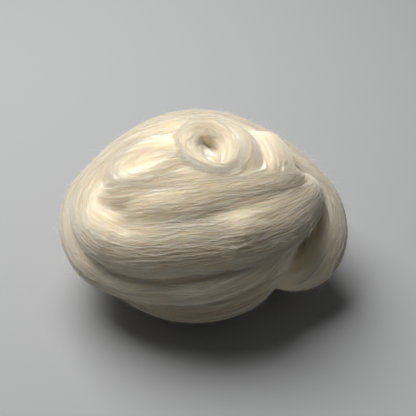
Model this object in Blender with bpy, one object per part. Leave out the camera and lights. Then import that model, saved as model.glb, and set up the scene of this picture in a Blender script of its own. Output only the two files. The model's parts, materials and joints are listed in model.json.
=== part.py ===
"""Wool roving: one soft combed strand wound by hand into a loose oval bundle that lies on its flat underside.

The bundle is one solid. A core fills its middle, and each turn of the strand that shows is a flattened tube laid
over it. The tubes and the core are melted into one skin, whose underside is cut level where it lies.
Frame: metres, +Z up, +X along the longest way, -Y towards the open front, origin under the middle at the surface.
"""

import math

import bmesh
import bpy
import numpy as np

MM = 0.001

# The bundle, in millimetres. Its axis stands a little beside the origin, so that the origin is under its middle.
AXIS_ACROSS = -2.2
AXIS_DEEP = 0.0
BALL_MIDDLE_HIGH = 50.0
BALL_HALF_ACROSS = 78.5
BALL_HALF_DEEP = 66.0
BALL_HALF_HIGH = 54.0

# The core that fills the middle reaches below the surface, and the cut makes that its flat spot.
CORE_HALF_ACROSS = 62.0
CORE_HALF_DEEP = 54.0
CORE_HALF_HIGH = 46.0
CORE_MIDDLE_HIGH = 43.0

# How finely each tube is laid, and how coarse the melted skin is.
SECTION_STEP = 4.0
SECTION_SIDES = 16
SKIN_CELL = 4.3
SKIN_SMOOTHING = 2
LAY_RADIUS = 62.0

WOOL_CREAM = (0.80, 0.72, 0.58, 1.0)
WOOL_ROUGHNESS = 0.9

# Each turn of the strand: the middle line of its tube, from one tucked end to the other, with its half width along
# the ball and half thickness out from it. Across and deep are from the bundle's axis, high is from the surface.
COLUMNS = ("across", "deep", "high", "half_wide", "half_thick")
TURNS = {
    # From under the front on the right, out round the right side, over the back, down the left and along the front.
    "rim": (
        (38, -22, 24, 8, 7),
        (51, -25, 27, 11, 11),
        (64, -24, 33, 12, 12),
        (72, -14, 43, 12, 12),
        (72, 0, 53, 11, 11),
        (60, 15, 64, 13, 10),
        (37, 29, 75, 14, 10),
        (6, 38, 82, 14, 10),
        (-24, 33, 81, 14, 10),
        (-50, 17, 69, 14, 11),
        (-65, 2, 58, 15, 12),
        (-68, -13, 49, 15, 12),
        (-60, -29, 43, 15, 12),
        (-42, -43, 43, 14, 11),
        (-20, -52, 47, 13, 10),
        (4, -54, 51, 12, 10),
        (24, -49, 56, 12, 9),
        (39, -38, 64, 11, 8),
        (48, -24, 72, 8, 6),
    ),
    # Inside the rim at the upper left, down the left side and across the front in one broad sweep.
    "front": (
        (24, 28, 83, 6, 5),
        (4, 27, 88, 12, 8),
        (-20, 27, 87, 13, 8),
        (-40, 20, 82, 13, 8),
        (-54, 9, 75, 13, 8),
        (-62, -5, 68, 14, 9),
        (-61, -20, 64, 15, 9),
        (-51, -33, 65, 16, 10),
        (-33, -44, 69, 17, 10),
        (-10, -47, 74, 17, 10),
        (14, -45, 76, 17, 10),
        (36, -36, 76, 17, 10),
        (52, -22, 75, 15, 9),
        (60, -7, 73, 12, 8),
        (56, 4, 77, 8, 6),
    ),
    # Above it, the turn that crosses the front at a slant.
    "upper_front": (
        (-52, -16, 62, 4, 3),
        (-45, -24, 72, 9, 4),
        (-32, -31, 82, 12, 7),
        (-9, -33, 88, 12, 8),
        (15, -27, 90, 13, 8),
        (34, -20, 87, 13, 8),
        (47, -11, 83, 11, 8),
        (54, 2, 77, 7, 5),
    ),
    # Between that turn and the coil.
    "middle": (
        (-58, -4, 66, 6, 4),
        (-51, -14, 76, 9, 6),
        (-38, -20, 85, 10, 7),
        (-20, -21, 90, 10, 7),
        (0, -20, 93, 10, 7),
        (15, -15, 93, 9, 6),
        (27, -8, 91, 6, 4),
    ),
    # The loose coil at the upper left, and the strand in its middle.
    "coil": (
        (2, -5, 94, 5, 4),
        (-9, 3, 96, 9, 6),
        (-22, 7, 94, 10, 7),
        (-35, 5, 89, 10, 7),
        (-43, -3, 85, 11, 7),
        (-38, -12, 86, 8, 6),
        (-26, -13, 91, 9, 6),
        (-12, -11, 95, 8, 6),
        (0, -9, 95, 5, 4),
    ),
    "coil_heart": (
        (-38, -4, 85, 6, 5),
        (-25, -3, 91, 9, 7),
        (-12, -3, 94, 9, 7),
        (0, -6, 93, 6, 5),
    ),
    # The doubled loop on top, the strand under its small pit, and the hump beside it.
    "top_loop": (
        (19, -22, 89, 7, 5),
        (22, -11, 93, 11, 7),
        (23, 2, 95, 11, 7),
        (19, 14, 94, 11, 7),
        (8, 21, 94, 11, 7),
        (-4, 16, 95, 9, 7),
        (-9, 4, 96, 8, 7),
        (-5, -7, 96, 7, 6),
        (4, -14, 94, 7, 6),
        (14, -17, 90, 6, 5),
    ),
    "under_loop": (
        (-7, 13, 89, 9, 6),
        (4, 6, 86, 12, 6),
        (13, -5, 89, 10, 6),
    ),
    "top_hump": (
        (28, 26, 83, 6, 5),
        (37, 18, 87, 10, 7),
        (42, 6, 88, 10, 7),
        (43, -6, 87, 10, 7),
        (38, -16, 84, 7, 5),
    ),
    # Under the front, from the notch at the right into the shade.
    "under_front": (
        (46, -22, 31, 8, 6),
        (37, -31, 29, 11, 9),
        (24, -40, 25, 12, 10),
        (6, -44, 22, 12, 10),
        (-16, -43, 22, 12, 10),
        (-36, -35, 25, 12, 10),
        (-52, -23, 29, 11, 9),
        (-60, -8, 33, 7, 6),
    ),
    # Behind, turns one above another that cross a little.
    "back_high": (
        (62, 4, 54, 7, 5),
        (54, 26, 57, 14, 9),
        (32, 43, 60, 15, 10),
        (2, 51, 62, 15, 10),
        (-30, 44, 61, 15, 10),
        (-54, 26, 57, 14, 9),
        (-66, 6, 50, 8, 6),
    ),
    "back_middle": (
        (64, -8, 42, 8, 6),
        (64, 14, 41, 14, 10),
        (48, 37, 37, 15, 10),
        (18, 52, 37, 15, 10),
        (-16, 52, 40, 15, 10),
        (-46, 38, 42, 15, 10),
        (-64, 16, 42, 14, 10),
        (-66, -6, 38, 8, 7),
    ),
    # The low turn goes round the sides and the back, close to the surface.
    "low": (
        (-34, -28, 22, 9, 8),
        (-52, -14, 23, 13, 11),
        (-58, 8, 22, 14, 12),
        (-46, 30, 20, 14, 12),
        (-18, 43, 19, 14, 12),
        (14, 44, 19, 14, 12),
        (42, 30, 20, 14, 12),
        (55, 10, 22, 14, 12),
        (52, -8, 22, 11, 9),
        (40, -20, 23, 8, 7),
    ),
}

# The turn that the bundle lies on is closed.
FOOT_HALF_ACROSS = 34.0
FOOT_HALF_DEEP = 25.0
FOOT_HIGH = 13.0
FOOT_HALF_WIDE = 23.0
FOOT_HALF_THICK = 14.5
FOOT_SECTIONS = 48


def clear_scene():
    for obj in list(bpy.data.objects):
        bpy.data.objects.remove(obj)


def smooth_route(rows):
    """The rows of one turn read along a smooth curve, about SECTION_STEP apart."""
    rows = np.array(rows, float)
    gaps = np.linalg.norm(np.diff(rows[:, :3], axis=0), axis=1)
    marks = np.concatenate([[0.0], np.cumsum(gaps)])
    slopes = np.gradient(rows, marks, axis=0)
    places = np.linspace(0.0, marks[-1], int(marks[-1] / SECTION_STEP) + 1)
    index = np.clip(np.searchsorted(marks, places) - 1, 0, len(gaps) - 1)
    gap = gaps[index][:, None]
    share = (places - marks[index])[:, None] / gap
    start, end = rows[index], rows[index + 1]
    return (
        (2 * share**3 - 3 * share**2 + 1) * start
        + (share**3 - 2 * share**2 + share) * gap * slopes[index]
        + (3 * share**2 - 2 * share**3) * end
        + (share**3 - share**2) * gap * slopes[index + 1]
    )


def foot_route():
    """The closed turn under the bundle, as rows like those of the others."""
    turn = np.linspace(0.0, 2 * math.pi, FOOT_SECTIONS, endpoint=False)
    rows = np.empty((FOOT_SECTIONS, len(COLUMNS)))
    rows[:, 0] = FOOT_HALF_ACROSS * np.cos(turn)
    rows[:, 1] = FOOT_HALF_DEEP * np.sin(turn)
    rows[:, 2:] = (FOOT_HIGH, FOOT_HALF_WIDE, FOOT_HALF_THICK)
    return rows


def unit(vectors):
    return vectors / np.linalg.norm(vectors, axis=1)[:, None]


def sections_of(route, closed):
    """The oval sections of a tube along a route, each bent to lie on the ball."""
    line, half_wide, half_thick = route[:, :3], route[:, 3], route[:, 4]
    if closed:
        along = unit(np.roll(line, -1, axis=0) - np.roll(line, 1, axis=0))
    else:
        along = unit(np.gradient(line, axis=0))
    middle = np.array([0.0, 0.0, BALL_MIDDLE_HIGH])
    halves = np.array([BALL_HALF_ACROSS, BALL_HALF_DEEP, BALL_HALF_HIGH])
    out = unit((line - middle) / halves**2)
    out = unit(out - (out * along).sum(axis=1)[:, None] * along)
    side = np.cross(along, out)
    turn = np.linspace(0.0, 2 * math.pi, SECTION_SIDES, endpoint=False)
    sideways = half_wide[:, None] * np.cos(turn)
    outwards = half_thick[:, None] * np.sin(turn) - sideways**2 / (2 * LAY_RADIUS)
    return line[:, None] + side[:, None] * sideways[..., None] + out[:, None] * outwards[..., None]


def add_tube(bm, route, closed=False):
    """One turn as a closed tube: rings of points joined to the next ring, with both ends capped."""
    shift = np.array([AXIS_ACROSS, AXIS_DEEP, 0.0])
    rings = [
        [bm.verts.new((point + shift) * MM) for point in section]
        for section in sections_of(route, closed)
    ]
    pairs = list(zip(rings, rings[1:]))
    if closed:
        pairs.append((rings[-1], rings[0]))
    else:
        bm.faces.new(rings[0])
        bm.faces.new(reversed(rings[-1]))
    for near, far in pairs:
        for this in range(SECTION_SIDES):
            following = (this + 1) % SECTION_SIDES
            bm.faces.new((near[following], near[this], far[this], far[following]))


def add_core(bm):
    made = bmesh.ops.create_uvsphere(bm, u_segments=48, v_segments=24, radius=MM)
    bmesh.ops.scale(bm, verts=made["verts"], vec=(CORE_HALF_ACROSS, CORE_HALF_DEEP, CORE_HALF_HIGH))
    bmesh.ops.translate(
        bm,
        verts=made["verts"],
        vec=(AXIS_ACROSS * MM, AXIS_DEEP * MM, CORE_MIDDLE_HIGH * MM),
    )


def melt(obj):
    """Melts the overlapping tubes and core into one skin."""
    skin = obj.modifiers.new("skin", "REMESH")
    skin.mode = "VOXEL"
    skin.voxel_size = SKIN_CELL * MM
    bpy.context.view_layer.objects.active = obj
    bpy.ops.object.modifier_apply(modifier=skin.name)


def island_of(start):
    """All the points joined to this one."""
    found = {start}
    waiting = [start]
    while waiting:
        for edge in waiting.pop().link_edges:
            for vert in edge.verts:
                if vert not in found:
                    found.add(vert)
                    waiting.append(vert)
    return found


def finish_skin(obj):
    """Drops the pockets closed in between turns, softens the skin and cuts the underside level."""
    bm = bmesh.new()
    bm.from_mesh(obj.data)
    outer = island_of(max(bm.verts, key=lambda vert: vert.co.z))
    inner = [vert for vert in bm.verts if vert not in outer]
    bmesh.ops.delete(bm, geom=inner, context="VERTS")
    for _ in range(SKIN_SMOOTHING):
        bmesh.ops.smooth_vert(bm, verts=bm.verts, factor=0.5, use_axis_x=True, use_axis_y=True, use_axis_z=True)
    cut = bmesh.ops.bisect_plane(
        bm,
        geom=bm.verts[:] + bm.edges[:] + bm.faces[:],
        plane_co=(0.0, 0.0, 0.0),
        plane_no=(0.0, 0.0, -1.0),
        clear_outer=True,
    )
    rim = [item for item in cut["geom_cut"] if isinstance(item, bmesh.types.BMEdge)]
    bmesh.ops.holes_fill(bm, edges=rim, sides=0)
    bmesh.ops.triangulate(bm, faces=bm.faces)
    bmesh.ops.recalc_face_normals(bm, faces=bm.faces)
    bm.to_mesh(obj.data)
    bm.free()
    obj.data.shade_smooth()


def wool():
    material = bpy.data.materials.new("cream_wool")
    material.use_nodes = True
    shader = material.node_tree.nodes["Principled BSDF"]
    shader.inputs["Base Color"].default_value = WOOL_CREAM
    shader.inputs["Roughness"].default_value = WOOL_ROUGHNESS
    shader.inputs["Metallic"].default_value = 0.0
    return material


def roving_bundle():
    bm = bmesh.new()
    add_core(bm)
    for rows in TURNS.values():
        add_tube(bm, smooth_route(rows))
    add_tube(bm, foot_route(), closed=True)
    bmesh.ops.recalc_face_normals(bm, faces=bm.faces)
    mesh = bpy.data.meshes.new("roving_bundle")
    bm.to_mesh(mesh)
    bm.free()
    obj = bpy.data.objects.new("roving_bundle", mesh)
    bpy.context.scene.collection.objects.link(obj)
    melt(obj)
    finish_skin(obj)
    obj.data.materials.clear()
    obj.data.materials.append(wool())
    return obj


clear_scene()
roving_bundle()
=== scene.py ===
"""Wool roving: a loose bundle of combed cream wool, turn laid over turn, with its fibres and stray hairs.

Every turn of the strand is a flat grid rolled into a closed tube and laid round the bundle. The turns are
melted into one soft skin, which is raised into shallow locks that run with the wool. Thin wisps, combed
fibres and stray hairs lie over it. Tables are in millimetres from the bundle's axis, and the finished pieces
are in metres.
"""

import json
import math

import bpy
import numpy as np
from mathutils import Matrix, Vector
from mathutils.bvhtree import BVHTree

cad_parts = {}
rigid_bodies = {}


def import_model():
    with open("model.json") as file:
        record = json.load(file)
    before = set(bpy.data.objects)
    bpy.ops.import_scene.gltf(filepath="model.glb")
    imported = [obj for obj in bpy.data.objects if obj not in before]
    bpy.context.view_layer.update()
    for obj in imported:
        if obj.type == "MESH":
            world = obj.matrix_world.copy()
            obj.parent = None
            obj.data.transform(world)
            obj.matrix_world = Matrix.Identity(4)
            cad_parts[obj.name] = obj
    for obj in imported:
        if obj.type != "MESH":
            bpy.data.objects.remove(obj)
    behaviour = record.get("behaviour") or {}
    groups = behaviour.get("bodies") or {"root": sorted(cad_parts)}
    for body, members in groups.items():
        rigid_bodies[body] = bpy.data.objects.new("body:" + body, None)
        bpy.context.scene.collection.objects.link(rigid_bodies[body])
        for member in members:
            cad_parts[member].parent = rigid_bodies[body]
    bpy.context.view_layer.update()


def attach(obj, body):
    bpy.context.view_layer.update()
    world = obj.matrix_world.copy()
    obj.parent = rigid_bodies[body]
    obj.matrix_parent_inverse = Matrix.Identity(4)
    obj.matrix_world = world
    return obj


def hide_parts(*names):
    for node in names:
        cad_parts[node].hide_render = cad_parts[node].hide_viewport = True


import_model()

MM = 0.001
NODE = "roving_bundle"

# The ball that the turns lie on.
AXIS = np.array([-2.2, 0.0, 0.0])
BALL_MIDDLE = np.array([0.0, 0.0, 50.0])
BALL_HALVES = np.array([78.5, 66.0, 54.0])
LAY_RADIUS = 62.0

# Each turn as rows of: across, deep, high, half wide, half thick.
TURNS = {
    # From under the front on the right, round the right side, over the back, down the left, along the front.
    "rim": (
        (38, -22, 24, 8, 7),
        (51, -25, 27, 11, 11),
        (64, -24, 33, 12, 12),
        (72, -14, 43, 12, 12),
        (72, 0, 53, 11, 11),
        (60, 15, 64, 13, 10),
        (37, 29, 75, 14, 10),
        (6, 38, 82, 14, 10),
        (-24, 33, 81, 14, 10),
        (-50, 17, 69, 14, 11),
        (-65, 2, 58, 15, 12),
        (-68, -13, 49, 15, 12),
        (-60, -29, 43, 15, 12),
        (-42, -43, 43, 14, 11),
        (-20, -52, 47, 13, 10),
        (4, -54, 51, 12, 10),
        (24, -49, 56, 12, 9),
        (39, -38, 64, 11, 8),
        (48, -24, 72, 8, 6),
    ),
    # Inside the rim at the upper left, down the left side and across the front in one broad sweep.
    "front": (
        (24, 28, 83, 6, 5),
        (4, 27, 88, 12, 8),
        (-20, 27, 87, 13, 8),
        (-40, 20, 82, 13, 8),
        (-54, 9, 75, 13, 8),
        (-62, -5, 68, 14, 9),
        (-61, -20, 64, 15, 9),
        (-51, -33, 65, 16, 10),
        (-33, -44, 69, 17, 10),
        (-10, -47, 74, 17, 10),
        (14, -45, 76, 17, 10),
        (36, -36, 76, 17, 10),
        (52, -22, 75, 15, 9),
        (60, -7, 73, 12, 8),
        (56, 4, 77, 8, 6),
    ),
    # Above it, the turn that crosses the front at a slant.
    "upper_front": (
        (-52, -16, 62, 4, 3),
        (-45, -24, 72, 9, 4),
        (-32, -31, 82, 12, 7),
        (-9, -33, 88, 12, 8),
        (15, -27, 90, 13, 8),
        (34, -20, 87, 13, 8),
        (47, -11, 83, 11, 8),
        (54, 2, 77, 7, 5),
    ),
    # Between that turn and the coil.
    "middle": (
        (-58, -4, 66, 6, 4),
        (-51, -14, 76, 9, 6),
        (-38, -20, 85, 10, 7),
        (-20, -21, 90, 10, 7),
        (0, -20, 93, 10, 7),
        (15, -15, 93, 9, 6),
        (27, -8, 91, 6, 4),
    ),
    # The loose coil at the upper left, and the strand in its middle.
    "coil": (
        (2, -5, 94, 5, 4),
        (-9, 3, 96, 9, 6),
        (-22, 7, 94, 10, 7),
        (-35, 5, 89, 10, 7),
        (-43, -3, 85, 11, 7),
        (-38, -12, 86, 8, 6),
        (-26, -13, 91, 9, 6),
        (-12, -11, 95, 8, 6),
        (0, -9, 95, 5, 4),
    ),
    "coil_heart": (
        (-38, -4, 85, 6, 5),
        (-25, -3, 91, 9, 7),
        (-12, -3, 94, 9, 7),
        (0, -6, 93, 6, 5),
    ),
    # The doubled loop on top, the strand under its small pit, and the hump beside it.
    "top_loop": (
        (19, -22, 89, 7, 5),
        (22, -11, 93, 11, 7),
        (23, 2, 95, 11, 7),
        (19, 14, 94, 11, 7),
        (8, 21, 94, 11, 7),
        (-4, 16, 95, 9, 7),
        (-9, 4, 96, 8, 7),
        (-5, -7, 96, 7, 6),
        (4, -14, 94, 7, 6),
        (14, -17, 90, 6, 5),
    ),
    "under_loop": (
        (-7, 13, 89, 9, 6),
        (4, 6, 86, 12, 6),
        (13, -5, 89, 10, 6),
    ),
    "top_hump": (
        (28, 26, 83, 6, 5),
        (37, 18, 87, 10, 7),
        (42, 6, 88, 10, 7),
        (43, -6, 87, 10, 7),
        (38, -16, 84, 7, 5),
    ),
    # Under the front, from the notch at the right into the shade.
    "under_front": (
        (46, -22, 31, 8, 6),
        (37, -31, 29, 11, 9),
        (24, -40, 25, 12, 10),
        (6, -44, 22, 12, 10),
        (-16, -43, 22, 12, 10),
        (-36, -35, 25, 12, 10),
        (-52, -23, 29, 11, 9),
        (-60, -8, 33, 7, 6),
    ),
    # Behind, turns one above another that cross a little.
    "back_high": (
        (62, 4, 54, 7, 5),
        (54, 26, 57, 14, 9),
        (32, 43, 60, 15, 10),
        (2, 51, 62, 15, 10),
        (-30, 44, 61, 15, 10),
        (-54, 26, 57, 14, 9),
        (-66, 6, 50, 8, 6),
    ),
    "back_middle": (
        (64, -8, 42, 8, 6),
        (64, 14, 41, 14, 10),
        (48, 37, 37, 15, 10),
        (18, 52, 37, 15, 10),
        (-16, 52, 40, 15, 10),
        (-46, 38, 42, 15, 10),
        (-64, 16, 42, 14, 10),
        (-66, -6, 38, 8, 7),
    ),
    # The low turn goes round the sides and the back, close to the surface.
    "low": (
        (-34, -28, 22, 9, 8),
        (-52, -14, 23, 13, 11),
        (-58, 8, 22, 14, 12),
        (-46, 30, 20, 14, 12),
        (-18, 43, 19, 14, 12),
        (14, 44, 19, 14, 12),
        (42, 30, 20, 14, 12),
        (55, 10, 22, 14, 12),
        (52, -8, 22, 11, 9),
        (40, -20, 23, 8, 7),
    ),
}

# The closed turn that the bundle lies on, and the heart that the turns are wound on.
FOOT = {"half_across": 34, "half_deep": 25, "high": 13, "half_wide": 23, "half_thick": 14.5, "rows": 24}
CORE = {"halves": (62, 54, 46), "high": 43}

# How finely a turn is laid, and how fine and how soft the melted skin is.
RING_STEP = 2.5
SIDE_STEP = 1.8
END_LENGTH = 9.0
SKIN_CELL = 1.05
SKIN_SMOOTHING = 24
PRESS_SOFTNESS = 3.0
RELIEF_FADE = 4.0
UNDERSIDE_FADE = 10.0

# How high the locks stand, and how far neighbouring directions of the wool run into one another.
LOCK_HEIGHT = 0.27
FLOW_ROUNDS = 10

# How many wisps, combed fibres, stray hairs and soft edge hairs there are, and the radii of the last three.
WISPS = 120
FIBRES = 12400
FIBRE_PIECES = 4
STRAYS = 1600
FUZZ = 7500
FIBRE_RADIUS = 0.062
STRAY_RADIUS = 0.045
FUZZ_RADIUS = 0.045
CLEAR_OF_SURFACE = 0.3

# Where the wool is pushed in or puffed out: across, deep, high, reach, push.
SOFT_SPOTS = (
    (-42, -40, 81, 7, -3.0),
    (-49, -41, 74, 6, 1.6),
    (23, -46, 86, 8, 2.4),
    (10, -50, 81, 7, -1.2),
    (-8, -40, 90, 14, 1.2),
    (-20, -66, 52, 12, -1.2),
    (30, -58, 60, 12, 1.2),
    (-62, -40, 52, 12, 1.2),
)


# ---- noise ----


def noise(x, y, seed):
    """Smooth noise from -1 to 1 on a lattice."""
    table = np.random.default_rng(seed).uniform(-1.0, 1.0, (128, 128))
    column = np.floor(x).astype(int)
    row = np.floor(y).astype(int)
    a, b = x - column, y - row
    a, b = a * a * (3 - 2 * a), b * b * (3 - 2 * b)
    column, row = column % 128, row % 128
    following, after = (column + 1) % 128, (row + 1) % 128
    low = table[column, row] * (1 - a) + table[following, row] * a
    high = table[column, after] * (1 - a) + table[following, after] * a
    return low * (1 - b) + high * b


# ---- laying a turn ----


def unit(vectors):
    return vectors / np.maximum(np.linalg.norm(vectors, axis=-1)[..., None], 1e-9)


def smooth_route(rows, step):
    """The rows of one turn read along a smooth curve."""
    rows = np.array(rows, float)
    gaps = np.linalg.norm(np.diff(rows[:, :3], axis=0), axis=1)
    marks = np.concatenate([[0.0], np.cumsum(gaps)])
    slopes = np.gradient(rows, marks, axis=0)
    places = np.linspace(0.0, marks[-1], int(marks[-1] / step) + 1)
    index = np.clip(np.searchsorted(marks, places) - 1, 0, len(gaps) - 1)
    gap = gaps[index][:, None]
    share = (places - marks[index])[:, None] / gap
    start, end = rows[index], rows[index + 1]
    return (
        (2 * share**3 - 3 * share**2 + 1) * start
        + (share**3 - 2 * share**2 + share) * gap * slopes[index]
        + (3 * share**2 - 2 * share**3) * end
        + (share**3 - share**2) * gap * slopes[index + 1]
    )


def foot_rows():
    """The turn that the bundle lies on, as rows that come back to their start."""
    rows = []
    for number in range(FOOT["rows"] + 1):
        turn = 2 * math.pi * number / FOOT["rows"]
        across, deep = FOOT["half_across"] * math.cos(turn), FOOT["half_deep"] * math.sin(turn)
        rows.append((across, deep, FOOT["high"], FOOT["half_wide"], FOOT["half_thick"]))
    return rows


def lay_turn(rows, seed, closed=False):
    """One turn as a grid of points: rings along it, each a flattened oval that lies on the ball."""
    route = smooth_route(rows, RING_STEP)
    line, half_wide, half_thick = route[:, :3], route[:, 3], route[:, 4]
    steps = np.linalg.norm(np.diff(line, axis=0), axis=1)
    lengths = np.concatenate([[0.0], np.cumsum(steps)])
    girth = 2 * math.pi * math.sqrt((half_wide.max() ** 2 + half_thick.max() ** 2) / 2)
    sides = int(girth / SIDE_STEP)
    pinch = np.ones(len(route))
    if not closed:
        reach = np.clip(np.minimum(lengths, lengths[-1] - lengths) / END_LENGTH, 0.0, 1.0)
        pinch = np.sqrt(np.clip(1 - (1 - reach) ** 2, 0.0, 1.0))
    u = np.repeat(lengths[:, None], sides + 1, axis=1)
    v = np.repeat(np.linspace(0.0, girth, sides + 1)[None], len(route), axis=0)
    swell = 1.0 + 0.07 * noise(u / 30, 1.5 + 2.2 * np.cos(2 * math.pi * v / girth), seed)
    along = unit(np.gradient(line, axis=0))
    out = unit((line - BALL_MIDDLE) / BALL_HALVES**2)
    out = unit(out - (out * along).sum(axis=1)[:, None] * along)
    side = np.cross(along, out)
    turn = 2 * math.pi * v / girth - 0.5 * math.pi
    sideways = (half_wide * pinch)[:, None] * np.cos(turn) * swell
    outwards = (half_thick * pinch)[:, None] * np.sin(turn) * swell - sideways**2 / (2 * LAY_RADIUS)
    points = line[:, None] + side[:, None] * sideways[..., None] + out[:, None] * outwards[..., None]
    return {"points": settle(points), "u": u, "v": v}


def settle(points):
    """Presses what would reach below the surface flat on it."""
    points = points.copy()
    high = points[..., 2]
    pressed = PRESS_SOFTNESS * np.exp(np.minimum(high - PRESS_SOFTNESS, 0.0) / PRESS_SOFTNESS)
    points[..., 2] = np.where(high < PRESS_SOFTNESS, pressed, high)
    return points


def in_frame(points):
    return (points + AXIS) * MM


# ---- making pieces ----


def nothing_selected():
    bpy.ops.object.select_all(action="DESELECT")


def own(piece, name, material):
    piece.name = name
    piece.data.name = name
    piece.data.materials.clear()
    piece.data.materials.append(material)
    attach(piece, "root")
    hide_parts(NODE)


def apply_modifier(piece, kind, **settings):
    bpy.context.view_layer.objects.active = piece
    modifier = piece.modifiers.new(kind.lower(), kind)
    for setting, value in settings.items():
        setattr(modifier, setting, value)
    bpy.ops.object.modifier_apply(modifier=modifier.name)


def roll_turn(turn):
    """A flat grid rolled into the tube of one turn, its seam and ends closed."""
    nothing_selected()
    rings, columns = turn["points"].shape[:2]
    bpy.ops.mesh.primitive_grid_add(x_subdivisions=columns - 1, y_subdivisions=rings - 1, size=1.0)
    piece = bpy.context.object
    flat = np.empty(len(piece.data.vertices) * 3)
    piece.data.vertices.foreach_get("co", flat)
    flat = flat.reshape(-1, 3) + 0.5
    column = np.rint(flat[:, 0] * (columns - 1)).astype(int)
    ring = np.rint(flat[:, 1] * (rings - 1)).astype(int)
    piece.data.vertices.foreach_set("co", in_frame(turn["points"][ring, column]).ravel())
    bpy.ops.object.mode_set(mode="EDIT")
    bpy.ops.mesh.select_all(action="SELECT")
    bpy.ops.mesh.remove_doubles(threshold=0.00002)
    bpy.ops.mesh.normals_make_consistent(inside=False)
    bpy.ops.object.mode_set(mode="OBJECT")
    return piece


def fill_heart():
    """The oval heart that the turns are wound on."""
    nothing_selected()
    bpy.ops.mesh.primitive_uv_sphere_add(segments=96, ring_count=48, radius=1.0)
    heart = bpy.context.object
    place = np.empty(len(heart.data.vertices) * 3)
    heart.data.vertices.foreach_get("co", place)
    place = place.reshape(-1, 3) * CORE["halves"] + (0.0, 0.0, CORE["high"])
    heart.data.vertices.foreach_set("co", in_frame(settle(place)).ravel())
    return heart


def melt_turns(turns):
    """Joins the rolled turns and the heart, melts them into one skin and softens it."""
    pieces = [roll_turn(turn) for turn in turns] + [fill_heart()]
    nothing_selected()
    for piece in pieces:
        piece.select_set(True)
    bpy.context.view_layer.objects.active = pieces[-1]
    bpy.ops.object.join()
    skin = bpy.context.object
    apply_modifier(skin, "REMESH", mode="VOXEL", voxel_size=SKIN_CELL * MM)
    highest = max(skin.data.vertices, key=lambda vert: vert.co.z).index
    bpy.ops.object.mode_set(mode="EDIT")
    bpy.ops.mesh.select_all(action="DESELECT")
    bpy.ops.object.mode_set(mode="OBJECT")
    skin.data.vertices[highest].select = True
    bpy.ops.object.mode_set(mode="EDIT")
    bpy.ops.mesh.select_linked()
    bpy.ops.mesh.select_all(action="INVERT")
    bpy.ops.mesh.delete(type="VERT")
    bpy.ops.object.mode_set(mode="OBJECT")
    apply_modifier(skin, "SMOOTH", factor=0.5, iterations=SKIN_SMOOTHING)
    return skin


# ---- reading the flow of the wool ----


def turn_patches(turns):
    """The turns' grids in one list: points, lengths along and round, turn numbers, corners of each patch."""
    points, u, v, number, patches = [], [], [], [], []
    start = 0
    for index, turn in enumerate(turns):
        rings, columns = turn["u"].shape
        ring, column = np.meshgrid(np.arange(rings - 1), np.arange(columns - 1), indexing="ij")
        corner = (start + ring * columns + column).ravel()
        patches.append(np.stack([corner, corner + columns, corner + columns + 1, corner + 1], axis=1))
        points.append(turn["points"].reshape(-1, 3))
        u.append(turn["u"].ravel())
        v.append(turn["v"].ravel())
        number.append(np.full(rings * columns, index))
        start += rings * columns
    return [np.concatenate(part) for part in (points, u, v, number, patches)]


def nearest(tree, points):
    """The nearest places on a tree's surface, and the number of the face each lies on."""
    places = np.empty(points.shape)
    faces = np.empty(len(points), int)
    for index, point in enumerate(points.tolist()):
        place, _, face, _ = tree.find_nearest(point)
        places[index] = place
        faces[index] = face
    return places, faces


def read_mesh(mesh):
    count = len(mesh.vertices)
    points = np.empty(count * 3)
    normals = np.empty(count * 3)
    mesh.vertices.foreach_get("co", points)
    mesh.vertices.foreach_get("normal", normals)
    return points.reshape(-1, 3) / MM - AXIS, normals.reshape(-1, 3)


def spread_flow(mesh, flow, normals, rounds):
    """Lets the directions of neighbouring points run into one another, whichever way each of them points."""
    edges = np.empty(len(mesh.edges) * 2, int)
    mesh.edges.foreach_get("vertices", edges)
    one, other = edges.reshape(-1, 2).T
    for _ in range(rounds):
        sign = np.where((flow[one] * flow[other]).sum(axis=1) < 0, -1.0, 1.0)[:, None]
        summed = 2 * flow
        np.add.at(summed, one, flow[other] * sign)
        np.add.at(summed, other, flow[one] * sign)
        flow = unit(summed - (summed * normals).sum(axis=1)[:, None] * normals)
    return flow


def relief(u, v, seed):
    """How far the wool stands out or lies in, in locks and streaks that run along the turn."""
    drift = v + 2.6 * noise(u / 48, v / 14, seed)
    height = LOCK_HEIGHT * noise(u / 75, drift / 6.5, seed + 1)
    return height + 0.2 * LOCK_HEIGHT * noise(u / 60, drift / 3.2, seed + 2)


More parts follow.
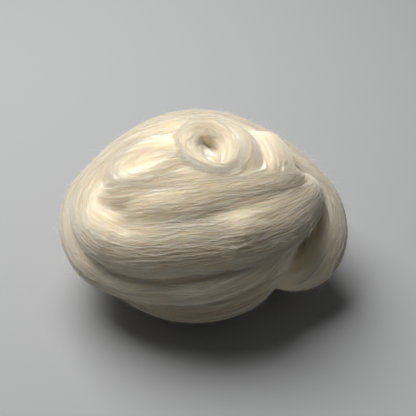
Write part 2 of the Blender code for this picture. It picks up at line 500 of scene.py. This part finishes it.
def comb_skin(skin, turns):
    """Raises the locks on the skin and marks its streaks of tone. Returns its surface with the wool's flow."""
    grid, along, round_it, number, patches = turn_patches(turns)
    tree = BVHTree.FromPolygons(grid.tolist(), patches.tolist())
    points, normals = read_mesh(skin.data)
    places, faces = nearest(tree, points)
    first, ahead, beside = patches[faces, 0], patches[faces, 1], patches[faces, 3]
    step, across = grid[ahead] - grid[first], grid[beside] - grid[first]
    offset = places - grid[first]
    share_u = np.clip((offset * step).sum(axis=1) / np.maximum((step**2).sum(axis=1), 1e-9), 0.0, 1.0)
    share_v = np.clip((offset * across).sum(axis=1) / np.maximum((across**2).sum(axis=1), 1e-9), 0.0, 1.0)
    u = along[first] + share_u * (along[ahead] - along[first])
    v = round_it[first] + share_v * (round_it[beside] - round_it[first])
    flow = spread_flow(skin.data, unit(step), normals, FLOW_ROUNDS)
    height = np.zeros(len(points))
    streak = np.zeros(len(points))
    for index in range(len(turns)):
        mine = number[first] == index
        height[mine] = relief(u[mine], v[mine], 40 * index + 3)
        streak[mine] = 0.5 + 0.5 * noise(u[mine] / 26, v[mine] / 1.9, 40 * index + 9)
        streak[mine] += 0.35 * noise(u[mine] / 60, v[mine] / 6.5, 40 * index + 11)
    for *middle, reach, push in SOFT_SPOTS:
        away = np.linalg.norm(points - middle, axis=1)
        height += push * np.exp(-((away / reach) ** 2))
    clear = np.clip(points[:, 2] / RELIEF_FADE, 0.0, 1.0)
    points = points + normals * (height * clear)[:, None]
    points[:, 2] -= points[:, 2].min() * np.clip(1.0 - points[:, 2] / UNDERSIDE_FADE, 0.0, 1.0)
    skin.data.vertices.foreach_set("co", in_frame(points).ravel())
    skin.data.attributes.new("streak", "FLOAT", "POINT").data.foreach_set("value", np.clip(streak, 0.0, 1.0))
    skin.data.update()
    skin.data.shade_smooth()
    points, normals = read_mesh(skin.data)
    polygons = [tuple(face.vertices) for face in skin.data.polygons]
    corner = np.array([polygon[0] for polygon in polygons])
    skin_tree = BVHTree.FromPolygons(points.tolist(), polygons)
    flow = unit(flow - (flow * normals).sum(axis=1)[:, None] * normals)
    return {"points": points, "normals": normals, "flow": flow, "tree": skin_tree, "corner": corner}


def run_over(surface, starts, reach, swing, curl, knots):
    """Paths that leave the start points and run with the wool, each turned by its own swing and curl."""
    here = surface["points"][starts]
    normal = surface["normals"][starts]
    way = surface["flow"][starts]
    step = (reach / (knots - 1))[:, None]
    paths, backs = [here], [normal]
    for knot in range(1, knots):
        here, faces = nearest(surface["tree"], here + way * step)
        corner = surface["corner"][faces]
        normal = unit(0.5 * normal + surface["normals"][corner])
        flow = surface["flow"][corner]
        flow = flow * np.where((flow * way).sum(axis=1) < 0, -1.0, 1.0)[:, None]
        angle = (swing + curl * knot / knots)[:, None]
        turned = flow * np.cos(angle) + np.cross(normal, flow) * np.sin(angle)
        way = unit(0.6 * way + turned)
        way = unit(way - (way * normal).sum(axis=1)[:, None] * normal)
        paths.append(here)
        backs.append(normal)
    return np.stack(paths, axis=1), np.stack(backs, axis=1)


def choose_starts(surface, rng, count):
    """Points of the skin that are off the surface the bundle lies on."""
    usable = np.flatnonzero(surface["points"][:, 2] > 2.5)
    return rng.choice(usable, count)


# ---- wisps and fibres ----


def thread_mesh(name, points, sides, shade, material):
    """One mesh of many closed threads. Each has a tip, then rings of as many points as sides, then a tip."""
    count, each = points.shape[:2]
    points[..., 2] = np.maximum(points[..., 2], CLEAR_OF_SURFACE)
    last = each - 1
    rings = (each - 2) // sides
    faces = []
    for corner in range(sides):
        other = (corner + 1) % sides
        faces.append((0, 1 + other, 1 + corner))
        faces.append((last, last - sides + corner, last - sides + other))
        for ring in range(rings - 1):
            near = 1 + sides * ring
            faces.append((near + corner, near + other, near + sides + other))
            faces.append((near + corner, near + sides + other, near + sides + corner))
    faces = (np.array(faces)[None] + (np.arange(count) * each)[:, None, None]).reshape(-1, 3)
    mesh = bpy.data.meshes.new(name)
    mesh.vertices.add(count * each)
    mesh.vertices.foreach_set("co", in_frame(points).ravel())
    mesh.loops.add(faces.size)
    mesh.loops.foreach_set("vertex_index", faces.ravel())
    mesh.polygons.add(len(faces))
    mesh.polygons.foreach_set("loop_start", np.arange(0, faces.size, 3))
    mesh.attributes.new("streak", "FLOAT", "POINT").data.foreach_set("value", np.repeat(shade, each))
    mesh.update(calc_edges=True)
    mesh.shade_smooth()
    piece = bpy.data.objects.new(name, mesh)
    bpy.context.scene.collection.objects.link(piece)
    own(piece, name, material)
    return piece


def threads(paths, backs, half_wide, half_thick, sides):
    """The rings of points round each path. Widths are one number for each knot between the two tips."""
    along = unit(np.gradient(paths, axis=1))
    side = unit(np.cross(along, backs))
    up = np.cross(side, along)
    rings = []
    for corner in range(sides):
        turn = 2 * math.pi * (corner + 0.5) / sides
        sideways = side[:, 1:-1] * (half_wide * math.cos(turn))[..., None]
        upwards = up[:, 1:-1] * (half_thick * math.sin(turn))[..., None]
        rings.append(paths[:, 1:-1] + sideways + upwards)
    middle = np.stack(rings, axis=2).reshape(len(paths), -1, 3)
    return np.concatenate([paths[:, :1], middle, paths[:, -1:]], axis=1)


def lay_wisps(surface, rng, material):
    """Flat tapering wisps that run with the wool, half sunk in it."""
    knots = 15
    starts = choose_starts(surface, rng, WISPS)
    reach = rng.uniform(24.0, 62.0, WISPS)
    swing = rng.normal(0.0, 0.07, WISPS)
    paths, backs = run_over(surface, starts, reach, swing, rng.normal(0.0, 0.15, WISPS), knots)
    for _ in range(3):
        paths[:, 1:-1] = 0.5 * paths[:, 1:-1] + 0.25 * (paths[:, :-2] + paths[:, 2:])
    t = np.linspace(0.0, 1.0, knots)
    swell = np.sin(math.pi * t[1:-1]) ** 0.8
    half_wide = rng.uniform(0.7, 2.6, (WISPS, 1)) * swell
    half_thick = rng.uniform(0.12, 0.30, (WISPS, 1)) * swell
    sink = np.where((t == 0) | (t == 1), -0.5, 0.0)
    paths = paths + backs * sink[:, None]
    points = threads(paths, backs, half_wide, half_thick, 10)
    thread_mesh("wisps", points, 10, rng.uniform(0.3, 0.7, WISPS), material)


def lay_fibres(surface, rng, material):
    """The combed fibres: thin threads close on the skin that run with the wool."""
    knots = 9
    starts = choose_starts(surface, rng, FIBRES)
    reach = rng.uniform(16.0, 55.0, FIBRES)
    swing = rng.normal(0.0, 0.10, FIBRES)
    paths, backs = run_over(surface, starts, reach, swing, rng.normal(0.0, 0.22, FIBRES), knots)
    t = np.linspace(0.0, 1.0, knots)
    lift = rng.uniform(0.0, 0.35, (FIBRES, 1)) + rng.uniform(0.0, 0.5, (FIBRES, 1)) * np.sin(math.pi * t)
    paths = paths + backs * lift[..., None]
    taper = np.clip(np.minimum(t, 1 - t)[1:-1] * 4, 0.35, 1.0)
    thick = FIBRE_RADIUS * rng.uniform(0.6, 1.4, (FIBRES, 1)) * taper
    shade = rng.uniform(0.0, 1.0, FIBRES)
    part = -(-FIBRES // FIBRE_PIECES)
    for number, start in enumerate(range(0, FIBRES, part)):
        chosen = slice(start, start + part)
        points = threads(paths[chosen], backs[chosen], thick[chosen], thick[chosen], 3)
        thread_mesh(f"combed_fibres_{number + 1}", points, 3, shade[chosen], material)


def lay_strays(surface, rng, material):
    """Stray hairs that cross the turns and hang a little clear of them."""
    knots = 11
    starts = choose_starts(surface, rng, STRAYS)
    reach = rng.uniform(10.0, 45.0, STRAYS)
    swing = rng.normal(0.0, 0.5, STRAYS)
    paths, backs = run_over(surface, starts, reach, swing, rng.normal(0.0, 0.9, STRAYS), knots)
    t = np.linspace(0.0, 1.0, knots)
    arch = np.sin(math.pi * np.clip(t * 1.4, 0.0, 1.0))
    lift = rng.uniform(0.2, 0.9, (STRAYS, 1)) * arch + 0.05
    lift = lift + rng.uniform(0.0, 1.4, (STRAYS, 1)) * np.clip(t - 0.6, 0.0, 1.0)
    paths = paths + backs * lift[..., None]
    for _ in range(2):
        paths[:, 1:-1] = 0.5 * paths[:, 1:-1] + 0.25 * (paths[:, :-2] + paths[:, 2:])
    taper = np.clip(np.minimum(t, 1 - t)[1:-1] * 4, 0.35, 1.0)
    thick = STRAY_RADIUS * rng.uniform(0.6, 1.3, (STRAYS, 1)) * taper
    points = threads(paths, backs, thick, thick, 3)
    thread_mesh("stray_hairs", points, 3, rng.uniform(0.3, 1.0, STRAYS), material)


def lay_fuzz(surface, rng, material):
    """Short fine hairs that stand off the skin and make its soft edge."""
    knots = 6
    starts = choose_starts(surface, rng, FUZZ)
    points, normals, flow = (surface[key][starts] for key in ("points", "normals", "flow"))
    way = flow * rng.choice([-1.0, 1.0], (FUZZ, 1))
    side = np.cross(normals, way)
    swing = rng.normal(0.0, 0.5, (FUZZ, 1))
    way = way * np.cos(swing) + side * np.sin(swing)
    reach = 2.0 + 10.0 * rng.uniform(0.0, 1.0, (FUZZ, 1, 1)) ** 2
    stand = rng.uniform(0.08, 0.65, (FUZZ, 1, 1))
    droop = rng.uniform(-0.3, 0.8, (FUZZ, 1, 1))
    curl = rng.normal(0.0, 0.14, (FUZZ, 1, 1))
    t = np.linspace(0.0, 1.0, knots)[None, :, None]
    bend = way[:, None] * t + normals[:, None] * stand * t * (1 - droop * t) + side[:, None] * curl * t * t
    paths = points[:, None] + reach * bend
    backs = np.repeat(normals[:, None], knots, axis=1)
    taper = np.clip((1 - t[:, 1:-1, 0]) * 2.5, 0.3, 1.0)
    thick = FUZZ_RADIUS * rng.uniform(0.6, 1.3, (FUZZ, 1)) * taper
    hairs = threads(paths, backs, thick, thick, 3)
    thread_mesh("soft_edge_hairs", hairs, 3, rng.uniform(0.4, 1.0, FUZZ), material)


# ---- materials ----


def new_material(name):
    material = bpy.data.materials.new(name)
    material.use_nodes = True
    return material, material.node_tree.nodes, material.node_tree.links


def tone_from_streak(nodes, links, shader, dark, light):
    streak = nodes.new("ShaderNodeAttribute")
    streak.attribute_name = "streak"
    tone = nodes.new("ShaderNodeValToRGB")
    tone.color_ramp.elements[0].color = dark
    tone.color_ramp.elements[1].color = light
    links.new(streak.outputs["Fac"], tone.inputs["Fac"])
    links.new(tone.outputs["Color"], shader.inputs["Base Color"])


def combed_wool():
    """The body of the wool: cream, matte, and soft enough for light to pass a little way in."""
    material, nodes, links = new_material("combed_wool")
    shader = nodes["Principled BSDF"]
    shader.inputs["Roughness"].default_value = 0.85
    shader.inputs["Specular IOR Level"].default_value = 0.02
    shader.inputs["Sheen Weight"].default_value = 0.15
    shader.inputs["Sheen Roughness"].default_value = 0.6
    shader.inputs["Subsurface Weight"].default_value = 1.0
    shader.inputs["Subsurface Radius"].default_value = (1.0, 0.72, 0.42)
    shader.inputs["Subsurface Scale"].default_value = 0.005
    tone_from_streak(nodes, links, shader, (0.82, 0.70, 0.49, 1.0), (0.93, 0.85, 0.68, 1.0))
    return material


def fibre_wool():
    """The single fibres, each a slightly different cream."""
    material, nodes, links = new_material("fibre_wool")
    shader = nodes["Principled BSDF"]
    shader.inputs["Roughness"].default_value = 0.8
    shader.inputs["Specular IOR Level"].default_value = 0.1
    shader.inputs["Sheen Weight"].default_value = 0.25
    shader.inputs["Sheen Roughness"].default_value = 0.6
    tone_from_streak(nodes, links, shader, (0.76, 0.66, 0.49, 1.0), (0.98, 0.95, 0.87, 1.0))
    return material


def plain(name, colour, roughness):
    material, nodes, _ = new_material(name)
    nodes["Principled BSDF"].inputs["Base Color"].default_value = colour
    nodes["Principled BSDF"].inputs["Roughness"].default_value = roughness
    return material


# ---- the bundle ----


def build_bundle():
    wool = combed_wool()
    fibres = fibre_wool()
    turns = [lay_turn(rows, 10 * number + 5) for number, rows in enumerate(TURNS.values())]
    turns.append(lay_turn(foot_rows(), 905, closed=True))
    skin = melt_turns(turns)
    own(skin, "wound_wool", wool)
    surface = comb_skin(skin, turns)
    rng = np.random.default_rng(41)
    lay_wisps(surface, rng, fibres)
    lay_fibres(surface, rng, fibres)
    lay_strays(surface, rng, fibres)
    lay_fuzz(surface, rng, fibres)


# ---- floor, light and camera ----

EYE = np.array([4.64, -377.1, 431.2])
LOOK_DOWN = math.radians(45)
LENS = 80.0


def studio():
    nothing_selected()
    bpy.ops.mesh.primitive_plane_add(size=6.0, location=(0.0, 0.0, -0.0002))
    floor = bpy.context.object
    floor.name = "floor"
    floor.data.materials.append(plain("pale_floor", (0.40, 0.41, 0.42, 1.0), 0.9))

    bpy.ops.object.light_add(type="AREA", location=(-0.23, 0.24, 0.78))
    key = bpy.context.object
    key.name = "soft_key"
    key.data.size = 0.60
    key.data.energy = 9.4
    key.data.color = (1.0, 0.985, 0.96)
    aim = Vector((0.0, 0.0, 0.05)) - key.location
    key.rotation_euler = aim.to_track_quat("-Z", "Y").to_euler()

    world = bpy.data.worlds.new("studio_air")
    world.use_nodes = True
    world.node_tree.nodes["Background"].inputs["Color"].default_value = (0.95, 0.97, 1.0, 1.0)
    world.node_tree.nodes["Background"].inputs["Strength"].default_value = 0.07
    bpy.context.scene.world = world

    place = (EYE + AXIS) * MM
    bpy.ops.object.camera_add(location=place, rotation=(math.pi / 2 - LOOK_DOWN, 0.0, 0.0))
    camera = bpy.context.object
    camera.name = "view"
    camera.data.lens = LENS
    camera.data.sensor_width = 36.0
    bpy.context.scene.camera = camera
    bpy.context.scene.view_settings.view_transform = "Standard"


build_bundle()
studio()
